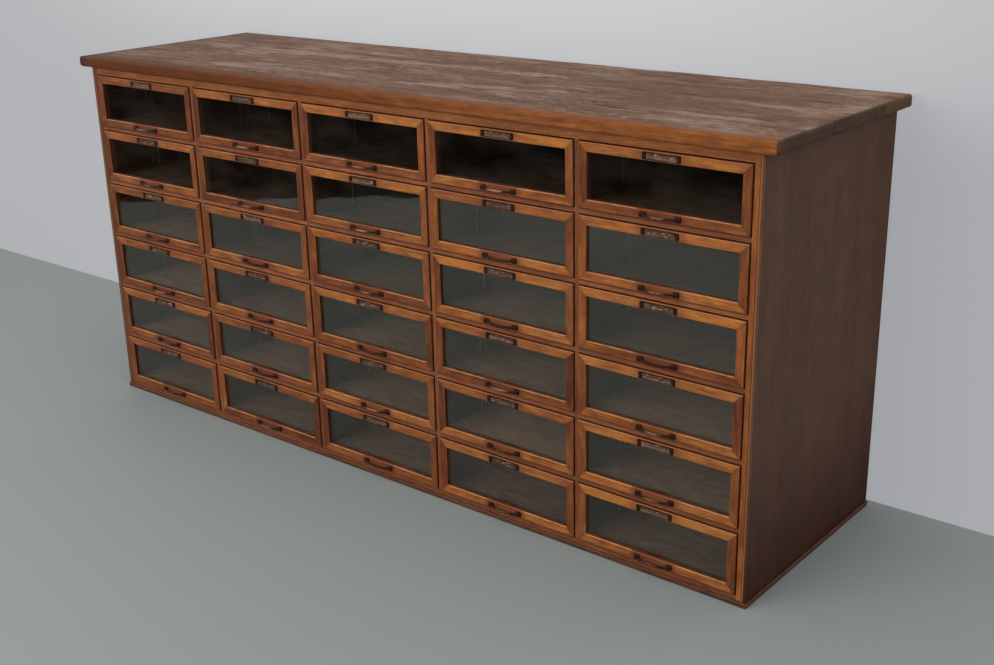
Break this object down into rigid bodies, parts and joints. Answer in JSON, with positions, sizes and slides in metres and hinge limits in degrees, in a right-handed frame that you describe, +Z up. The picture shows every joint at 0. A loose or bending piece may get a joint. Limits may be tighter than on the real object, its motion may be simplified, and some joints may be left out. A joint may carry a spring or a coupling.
{
  "type": "haberdashery cabinet",
  "caption": "Long shop counter of wood with a plank worktop and a grid of glass-fronted drawers on bow pulls with label holders.",
  "frame": {"origin": "centre of the bounding box at floor level", "axes": "+X along the front, to the right of someone facing the drawers; +Y from the drawers to the back; +Z up"},
  "size_m": [1.967, 0.5544, 0.9],
  "materials": {
    "front_wood": "waxed, worn to bare wood at the edges",
    "frame_wood": "waxed, darkened by dirt",
    "worktop_wood": "worn and scrubbed, dull",
    "side_wood": "dark stain, dull",
    "inner_wood": "bare, aged",
    "pane": "clear old sheet glass",
    "bronze": "bronzed, rubbed bright at the edges",
    "card": "plain paper card, aged"
  },
  "bodies": {
    "carcase": {"worktop_front_plank": "worktop_wood", "worktop_middle_plank": "worktop_wood", "worktop_rear_plank": "worktop_wood", "top_rail": "frame_wood", "bottom_rail": "frame_wood", "left_stile": "frame_wood", "right_stile": "frame_wood", "divider_1": "frame_wood", "partition_1": "inner_wood", "divider_2": "frame_wood", "partition_2": "inner_wood", "divider_3": "frame_wood", "partition_3": "inner_wood", "divider_4": "frame_wood", "partition_4": "inner_wood", "row_rail_1": "frame_wood", "row_rail_2": "frame_wood", "row_rail_3": "frame_wood", "row_rail_4": "frame_wood", "row_rail_5": "frame_wood", "left_gable": "inner_wood", "left_end_panel": "side_wood", "right_gable": "inner_wood", "right_end_panel": "side_wood", "bottom_boards": "inner_wood", "top_bearers": "inner_wood", "back_boards": "inner_wood", "runners_and_kickers": "inner_wood", "stop_rails": "inner_wood", "base_frame": "frame_wood"},
    "drawer_r1_c1": {"drawer_r1_c1": "front_wood"},
    "drawer_r1_c2": {"drawer_r1_c2": "front_wood"},
    "drawer_r1_c3": {"drawer_r1_c3": "front_wood"},
    "drawer_r1_c4": {"drawer_r1_c4": "front_wood"},
    "drawer_r1_c5": {"drawer_r1_c5": "front_wood"},
    "drawer_r2_c1": {"drawer_r2_c1": "front_wood"},
    "drawer_r2_c2": {"drawer_r2_c2": "front_wood"},
    "drawer_r2_c3": {"drawer_r2_c3": "front_wood"},
    "drawer_r2_c4": {"drawer_r2_c4": "front_wood"},
    "drawer_r2_c5": {"drawer_r2_c5": "front_wood"},
    "drawer_r3_c1": {"drawer_r3_c1": "front_wood"},
    "drawer_r3_c2": {"drawer_r3_c2": "front_wood"},
    "drawer_r3_c3": {"drawer_r3_c3": "front_wood"},
    "drawer_r3_c4": {"drawer_r3_c4": "front_wood"},
    "drawer_r3_c5": {"drawer_r3_c5": "front_wood"},
    "drawer_r4_c1": {"drawer_r4_c1": "front_wood"},
    "drawer_r4_c2": {"drawer_r4_c2": "front_wood"},
    "drawer_r4_c3": {"drawer_r4_c3": "front_wood"},
    "drawer_r4_c4": {"drawer_r4_c4": "front_wood"},
    "drawer_r4_c5": {"drawer_r4_c5": "front_wood"},
    "drawer_r5_c1": {"drawer_r5_c1": "front_wood"},
    "drawer_r5_c2": {"drawer_r5_c2": "front_wood"},
    "drawer_r5_c3": {"drawer_r5_c3": "front_wood"},
    "drawer_r5_c4": {"drawer_r5_c4": "front_wood"},
    "drawer_r5_c5": {"drawer_r5_c5": "front_wood"},
    "drawer_r6_c1": {"drawer_r6_c1": "front_wood"},
    "drawer_r6_c2": {"drawer_r6_c2": "front_wood"},
    "drawer_r6_c3": {"drawer_r6_c3": "front_wood"},
    "drawer_r6_c4": {"drawer_r6_c4": "front_wood"},
    "drawer_r6_c5": {"drawer_r6_c5": "front_wood"}
  },
  "joints": [
    {"name": "drawer_r1_c1_slide", "type": "slide", "parent": "carcase", "child": "drawer_r1_c1", "axis": [0, -1, 0], "range_m": [0, 0.4]},
    {"name": "drawer_r1_c2_slide", "type": "slide", "parent": "carcase", "child": "drawer_r1_c2", "axis": [0, -1, 0], "range_m": [0, 0.4]},
    {"name": "drawer_r1_c3_slide", "type": "slide", "parent": "carcase", "child": "drawer_r1_c3", "axis": [0, -1, 0], "range_m": [0, 0.4]},
    {"name": "drawer_r1_c4_slide", "type": "slide", "parent": "carcase", "child": "drawer_r1_c4", "axis": [0, -1, 0], "range_m": [0, 0.4]},
    {"name": "drawer_r1_c5_slide", "type": "slide", "parent": "carcase", "child": "drawer_r1_c5", "axis": [0, -1, 0], "range_m": [0, 0.4]},
    {"name": "drawer_r2_c1_slide", "type": "slide", "parent": "carcase", "child": "drawer_r2_c1", "axis": [0, -1, 0], "range_m": [0, 0.4]},
    {"name": "drawer_r2_c2_slide", "type": "slide", "parent": "carcase", "child": "drawer_r2_c2", "axis": [0, -1, 0], "range_m": [0, 0.4]},
    {"name": "drawer_r2_c3_slide", "type": "slide", "parent": "carcase", "child": "drawer_r2_c3", "axis": [0, -1, 0], "range_m": [0, 0.4]},
    {"name": "drawer_r2_c4_slide", "type": "slide", "parent": "carcase", "child": "drawer_r2_c4", "axis": [0, -1, 0], "range_m": [0, 0.4]},
    {"name": "drawer_r2_c5_slide", "type": "slide", "parent": "carcase", "child": "drawer_r2_c5", "axis": [0, -1, 0], "range_m": [0, 0.4]},
    {"name": "drawer_r3_c1_slide", "type": "slide", "parent": "carcase", "child": "drawer_r3_c1", "axis": [0, -1, 0], "range_m": [0, 0.4]},
    {"name": "drawer_r3_c2_slide", "type": "slide", "parent": "carcase", "child": "drawer_r3_c2", "axis": [0, -1, 0], "range_m": [0, 0.4]},
    {"name": "drawer_r3_c3_slide", "type": "slide", "parent": "carcase", "child": "drawer_r3_c3", "axis": [0, -1, 0], "range_m": [0, 0.4]},
    {"name": "drawer_r3_c4_slide", "type": "slide", "parent": "carcase", "child": "drawer_r3_c4", "axis": [0, -1, 0], "range_m": [0, 0.4]},
    {"name": "drawer_r3_c5_slide", "type": "slide", "parent": "carcase", "child": "drawer_r3_c5", "axis": [0, -1, 0], "range_m": [0, 0.4]},
    {"name": "drawer_r4_c1_slide", "type": "slide", "parent": "carcase", "child": "drawer_r4_c1", "axis": [0, -1, 0], "range_m": [0, 0.4]},
    {"name": "drawer_r4_c2_slide", "type": "slide", "parent": "carcase", "child": "drawer_r4_c2", "axis": [0, -1, 0], "range_m": [0, 0.4]},
    {"name": "drawer_r4_c3_slide", "type": "slide", "parent": "carcase", "child": "drawer_r4_c3", "axis": [0, -1, 0], "range_m": [0, 0.4]},
    {"name": "drawer_r4_c4_slide", "type": "slide", "parent": "carcase", "child": "drawer_r4_c4", "axis": [0, -1, 0], "range_m": [0, 0.4]},
    {"name": "drawer_r4_c5_slide", "type": "slide", "parent": "carcase", "child": "drawer_r4_c5", "axis": [0, -1, 0], "range_m": [0, 0.4]},
    {"name": "drawer_r5_c1_slide", "type": "slide", "parent": "carcase", "child": "drawer_r5_c1", "axis": [0, -1, 0], "range_m": [0, 0.4]},
    {"name": "drawer_r5_c2_slide", "type": "slide", "parent": "carcase", "child": "drawer_r5_c2", "axis": [0, -1, 0], "range_m": [0, 0.4]},
    {"name": "drawer_r5_c3_slide", "type": "slide", "parent": "carcase", "child": "drawer_r5_c3", "axis": [0, -1, 0], "range_m": [0, 0.4]},
    {"name": "drawer_r5_c4_slide", "type": "slide", "parent": "carcase", "child": "drawer_r5_c4", "axis": [0, -1, 0], "range_m": [0, 0.4]},
    {"name": "drawer_r5_c5_slide", "type": "slide", "parent": "carcase", "child": "drawer_r5_c5", "axis": [0, -1, 0], "range_m": [0, 0.4]},
    {"name": "drawer_r6_c1_slide", "type": "slide", "parent": "carcase", "child": "drawer_r6_c1", "axis": [0, -1, 0], "range_m": [0, 0.4]},
    {"name": "drawer_r6_c2_slide", "type": "slide", "parent": "carcase", "child": "drawer_r6_c2", "axis": [0, -1, 0], "range_m": [0, 0.4]},
    {"name": "drawer_r6_c3_slide", "type": "slide", "parent": "carcase", "child": "drawer_r6_c3", "axis": [0, -1, 0], "range_m": [0, 0.4]},
    {"name": "drawer_r6_c4_slide", "type": "slide", "parent": "carcase", "child": "drawer_r6_c4", "axis": [0, -1, 0], "range_m": [0, 0.4]},
    {"name": "drawer_r6_c5_slide", "type": "slide", "parent": "carcase", "child": "drawer_r6_c5", "axis": [0, -1, 0], "range_m": [0, 0.4]}
  ]
}
